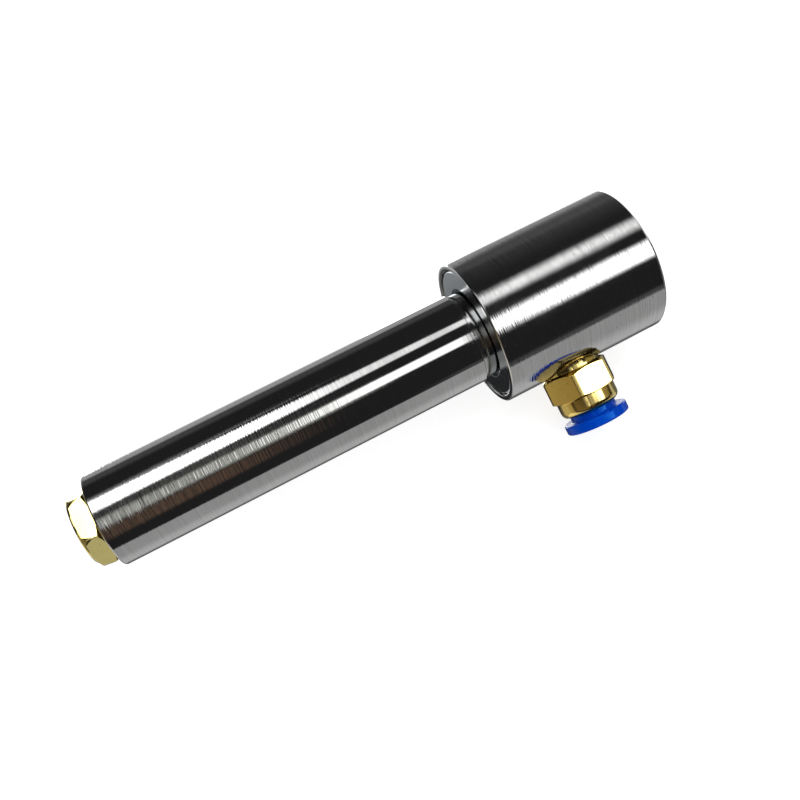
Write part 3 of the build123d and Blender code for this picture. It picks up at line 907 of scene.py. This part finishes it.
# The studio that polished metal shows; each lamp or wall is a band of angles about the tube's axis.
# A row has the light, the centre, half width and blur in degrees, two ends with their fades, and the ribs.
# Two rows also lean and spread along the tube.
STUDIO = (
    (1.6, 68.6, 10.6, 2.5, -0.7, 0.1, 0.25, 0.006, 0.2, 6.2, -19.0),
    (2.8, 68.6, 11.2, 3.0, -0.23, 0.015, 0.0, 0.12, 0.0, 6.2, -17.0),
    (0.7, 49.5, 0.8, 0.5, -0.7, 0.1, 0.02, 0.08, 0.3),
    (0.4, 45.5, 0.5, 0.4, -0.7, 0.1, 0.0, 0.08, 0.3),
    (2.8, 67.5, 8.0, 7.0, 0.25, 0.006, 0.5, 0.12, 0.75),
    ((0.95, 0.96, 0.88), 111.0, 11.0, 5.0, -0.23, 0.015, 0.12, 0.06, 0.9),
    ((0.95, 0.96, 0.88), 111.0, 11.0, 5.0, -0.5, 0.08, -0.31, 0.015, 0.9),
    ((0.17, 0.17, 0.16), 93.0, 9.0, 3.0, -0.23, 0.015, 0.0, 0.12, 0.9),
    (2.3, 110.0, 8.5, 2.5, 0.06, 0.08, 0.236, 0.004, 0.0),
    (3.6, 111.0, 11.5, 6.0, 0.267, 0.004, 0.5, 0.03, 0.0),
    (6.0, 117.0, 7.0, 3.0, 0.5, 0.02, 0.68, 0.03, 0.0),
    (0.9, 117.0, 12.0, 4.0, -0.4, 0.02, -0.3, 0.02, 0.0),
    ((0.19, 0.11, 0.065), 139.0, 13.0, 5.0, -0.23, 0.015, -0.02, 0.1, 0.5),
    ((0.16, 0.12, 0.06), 139.0, 20.0, 8.0, -0.955, 0.02, -0.34, 0.03, 0.0),
    ((0.3, 0.26, 0.14), 115.0, 20.0, 8.0, 0.7, 0.03, 1.2, 0.01, 0.0),
    ((0.34, 0.27, 0.14), 180.0, 16.0, 5.0, -1.2, 0.01, -0.955, 0.02, 0.0),
    ((0.42, 0.37, 0.24), -120.0, 46.0, 4.0, -1.2, 0.01, -0.6, 0.05, 0.0),
    (1.3, -54.0, 11.0, 3.0, -0.6, 0.05, 1.2, 0.01, 0.0),
    (2.4, -54.0, 10.0, 2.0, 0.14, 0.012, 0.252, 0.006, 0.0),
    ((0.34, 0.35, 0.36), -67.5, 3.5, 2.5, -0.6, 0.05, 1.2, 0.01, 0.0),
    (3.6, -50.0, 12.0, 1.0, -0.3, 0.01, -0.19, 0.004, 0.0),
    (0.48, -29.0, 14.0, 5.0, -0.6, 0.05, 0.25, 0.006, 0.0),
    (0.4, -34.0, 12.0, 15.0, 0.25, 0.006, 1.2, 0.01, 0.0),
    (0.065, -4.0, 10.0, 7.0, -1.2, 0.01, 1.2, 0.01, 0.0),
    (0.05, 10.0, 15.0, 25.0, 0.25, 0.006, 1.2, 0.01, 0.0),
    (0.47, -142.0, 37.0, 1.5, -0.95, 0.01, 1.2, 0.01, 0.0),
    (0.18, -124.0, 16.0, 12.0, -0.95, 0.01, 1.2, 0.01, 0.0),
    (0.13, -92.0, 12.0, 1.5, -0.95, 0.01, 1.2, 0.01, 0.0),
    (0.08, 178.0, 5.0, 3.0, 0.2, 0.05, 1.2, 0.01, 0.0),
)
STUDIO_DARK = (0.024, 0.024, 0.025)
PANEL_INPUTS = ("Centre", "Half", "Blur", "From", "From Fade", "To", "To Fade", "Ribs", "Lean", "Spread")
RIB_HALF = 0.03

FLOOR_REACH = 3.0
FLOOR_GLOW = 0.76
LAMP_PLACE = (0.02, 0.12, 0.36)
LAMP_AIM = (-0.06, 0, 0)
LAMP_WIDTH = 0.3


@cache
def studio_panel():
    """One lamp or wall of the studio, added to the light so far."""
    numbers = dict.fromkeys(("Angle", "Along", *PANEL_INPUTS), 0.0)
    group, given, out = new_group(
        "studio_panel", {"Light": "Color", **numbers, "Colour": "Color"}, "Light", "Color"
    )
    middle = calc(group, "MULTIPLY_ADD", given["Along"], given["Lean"], given["Centre"])
    half = calc(group, "MULTIPLY_ADD", given["Along"], given["Spread"], given["Half"])
    away = calc(group, "PINGPONG", calc(group, "SUBTRACT", given["Angle"], middle), 180.0)
    beside = calc(group, "SUBTRACT", half, given["Blur"])
    beyond = calc(group, "ADD", half, given["Blur"])
    across = remap(group, away, beside, beyond, 1.0, 0.0)
    first = [calc(group, way, given["From"], given["From Fade"]) for way in ("SUBTRACT", "ADD")]
    last = [calc(group, way, given["To"], given["To Fade"]) for way in ("SUBTRACT", "ADD")]
    lit = calc(group, "MULTIPLY", across, remap(group, given["Along"], *first))
    lit = calc(group, "MULTIPLY", lit, remap(group, given["Along"], *last, 1.0, 0.0))
    rib = remap(group, calc(group, "PINGPONG", given["Along"], RIB_HALF), 0.35 * RIB_HALF, 0.65 * RIB_HALF)
    passed = calc(group, "SUBTRACT", 1.0, calc(group, "MULTIPLY", rib, given["Ribs"]))
    lit = calc(group, "MULTIPLY", lit, passed)
    group.links.new(mixed(group, lit, given["Light"], given["Colour"], "ADD"), out["Light"])
    return group


@cache
def studio():
    """The light of the whole studio in a direction."""
    group, given, out = new_group("studio", {"Direction": "Vector"}, "Light", "Color")
    parts = put(group, "ShaderNodeSeparateXYZ", {0: given["Direction"]}).outputs
    angle = calc(group, "DEGREES", calc(group, "ARCTAN2", parts["Z"], parts["Y"]))
    seen = put(group, "ShaderNodeRGB").outputs[0]
    seen.default_value = (*STUDIO_DARK, 1.0)
    for light, *sizes in STUDIO:
        placed = {name.replace(" ", "_"): size for name, size in zip(PANEL_INPUTS, sizes)}
        colour = light if isinstance(light, tuple) else (light,) * 3
        seen = use_group(
            group, studio_panel(), Light=seen, Angle=angle, Along=parts["X"], Colour=(*colour, 1.0), **placed
        )["Light"]
    group.links.new(seen, out["Light"])
    return group


class VORTEX_OT_stage(bpy.types.Operator):
    """Set the camera, the pale floor, the soft lamp and the studio round the part"""

    bl_idname = "vortex_tube.stage"
    bl_label = "Stage"

    def execute(self, context):
        settings = context.scene.vortex_stage
        self.build_world(context, settings)
        self.build_floor(context, settings)
        self.build_lamp(context, settings)
        self.build_camera(context, settings)
        context.scene.view_settings.view_transform = "Standard"
        return {"FINISHED"}

    def build_world(self, context, settings):
        world = bpy.data.worlds.new("studio")
        context.scene.world = world
        world.use_nodes = True
        world.cycles.sampling_method = "NONE"
        tree = world.node_tree
        direction = put(tree, "ShaderNodeTexCoord").outputs["Generated"]
        seen = use_group(tree, studio(), Direction=direction)["Light"]
        rays = put(tree, "ShaderNodeLightPath").outputs
        mirrored = calc(tree, "MAXIMUM", rays["Is Glossy Ray"], rays["Is Transmission Ray"])
        around = mixed(tree, mirrored, (settings.plain_light,) * 3, seen)
        shown = mixed(tree, rays["Is Camera Ray"], around, (1.0, 1.0, 1.0))
        background = tree.nodes["Background"]
        tree.links.new(shown, background.inputs["Color"])

    def build_floor(self, context, settings):
        work = bmesh.new()
        bmesh.ops.create_grid(work, x_segments=1, y_segments=1, size=FLOOR_REACH)
        bmesh.ops.translate(work, vec=(0, 0, STAND_Z), verts=work.verts[:])
        mesh = bpy.data.meshes.new("floor")
        work.to_mesh(mesh)
        work.free()
        floor = bpy.data.objects.new("floor", mesh)
        context.scene.collection.objects.link(floor)
        material, tree, shader = new_material("pale_floor")
        position = put(tree, "ShaderNodeTexCoord").outputs["Object"]
        noise = put(tree, "ShaderNodeTexNoise", {"Vector": position, "Scale": 60.0, "Detail": 2.0})
        pale = tuple(settings.floor)
        tree.links.new(mixed(tree, noise.outputs["Fac"], pale, times(pale, 1.03)), shader["Base Color"])
        shader["Roughness"].default_value = 0.9
        shader["Specular IOR Level"].default_value = 0.0
        rays = put(tree, "ShaderNodeLightPath").outputs
        matt = tree.nodes["Principled BSDF"].outputs[0]
        white = put(tree, "ShaderNodeEmission", {"Color": (1, 1, 1, 1), "Strength": FLOOR_GLOW}).outputs[0]
        bright = put(tree, "ShaderNodeAddShader", {0: white, 1: matt}).outputs[0]
        seen = put(tree, "ShaderNodeMixShader", {0: rays["Is Camera Ray"], 1: matt, 2: bright}).outputs[0]
        backward = put(tree, "ShaderNodeNewGeometry").outputs["Incoming"]
        forward = put(tree, "ShaderNodeVectorMath", {0: backward, "Scale": -1.0}, operation="SCALE")
        light = use_group(tree, studio(), Direction=forward.outputs[0])["Light"]
        mirrored = put(tree, "ShaderNodeEmission", {"Color": light}).outputs[0]
        shown = put(tree, "ShaderNodeMixShader", {0: rays["Is Glossy Ray"], 1: seen, 2: mirrored}).outputs[0]
        tree.links.new(shown, tree.nodes["Material Output"].inputs["Surface"])
        mesh.materials.append(material)

    def build_lamp(self, context, settings):
        lamp = bpy.data.lights.new("soft_lamp", "AREA")
        lamp.shape, lamp.size, lamp.energy = "DISK", LAMP_WIDTH, settings.key_light
        placed = bpy.data.objects.new("soft_lamp", lamp)
        placed.location = LAMP_PLACE
        aim = Vector(LAMP_AIM) - placed.location
        placed.rotation_euler = aim.to_track_quat("-Z", "Y").to_euler()
        placed.visible_glossy = False
        context.scene.collection.objects.link(placed)

    def build_camera(self, context, settings):
        camera = bpy.data.cameras.new("camera")
        camera.lens, camera.sensor_width = settings.lens, 36.0
        camera.clip_start, camera.clip_end = 0.005, 20.0
        placed = bpy.data.objects.new("camera", camera)
        placed.location = settings.camera_place
        placed.rotation_euler = settings.camera_turn
        context.scene.collection.objects.link(placed)
        context.scene.camera = placed


class VORTEX_PT_panel(bpy.types.Panel):
    """Sizes, colours and building steps of the vortex tube"""

    bl_idname = "VORTEX_PT_panel"
    bl_label = "Vortex tube"
    bl_space_type = "VIEW_3D"
    bl_region_type = "UI"
    bl_category = "Vortex tube"

    def draw(self, context):
        for group in GROUPS:
            box = self.layout.box()
            box.label(text=group.__name__)
            settings = getattr(context.scene, GROUPS[group])
            for name in group.__annotations__:
                box.prop(settings, name)
        for operator in OPERATORS:
            self.layout.operator(operator.bl_idname)


GROUPS = {
    HousingSizes: "vortex_housing", CapSizes: "vortex_cap", TubeSizes: "vortex_tube",
    ValveSizes: "vortex_valve", FittingSizes: "vortex_fitting", CollarSizes: "vortex_collar",
    Finishes: "vortex_finishes", StageSettings: "vortex_stage",
}
OPERATORS = (
    VORTEX_OT_housing, VORTEX_OT_end_cap, VORTEX_OT_hot_tube, VORTEX_OT_hot_valve, VORTEX_OT_inlet_fitting,
    VORTEX_OT_release_collar, VORTEX_OT_inner_parts, VORTEX_OT_stage,
)


def register():
    for made in (*GROUPS, *OPERATORS, VORTEX_PT_panel):
        bpy.utils.register_class(made)
    for group, name in GROUPS.items():
        setattr(bpy.types.Scene, name, bpy.props.PointerProperty(type=group))


def unregister():
    for name in GROUPS.values():
        delattr(bpy.types.Scene, name)
    for made in reversed((*GROUPS, *OPERATORS, VORTEX_PT_panel)):
        bpy.utils.unregister_class(made)


def main():
    register()
    bpy.ops.vortex_tube.housing()
    bpy.ops.vortex_tube.end_cap()
    bpy.ops.vortex_tube.hot_tube()
    bpy.ops.vortex_tube.hot_valve()
    bpy.ops.vortex_tube.inlet_fitting()
    bpy.ops.vortex_tube.release_collar()
    bpy.ops.vortex_tube.inner_parts()
    bpy.ops.vortex_tube.stage()


if __name__ == "__main__":
    main()
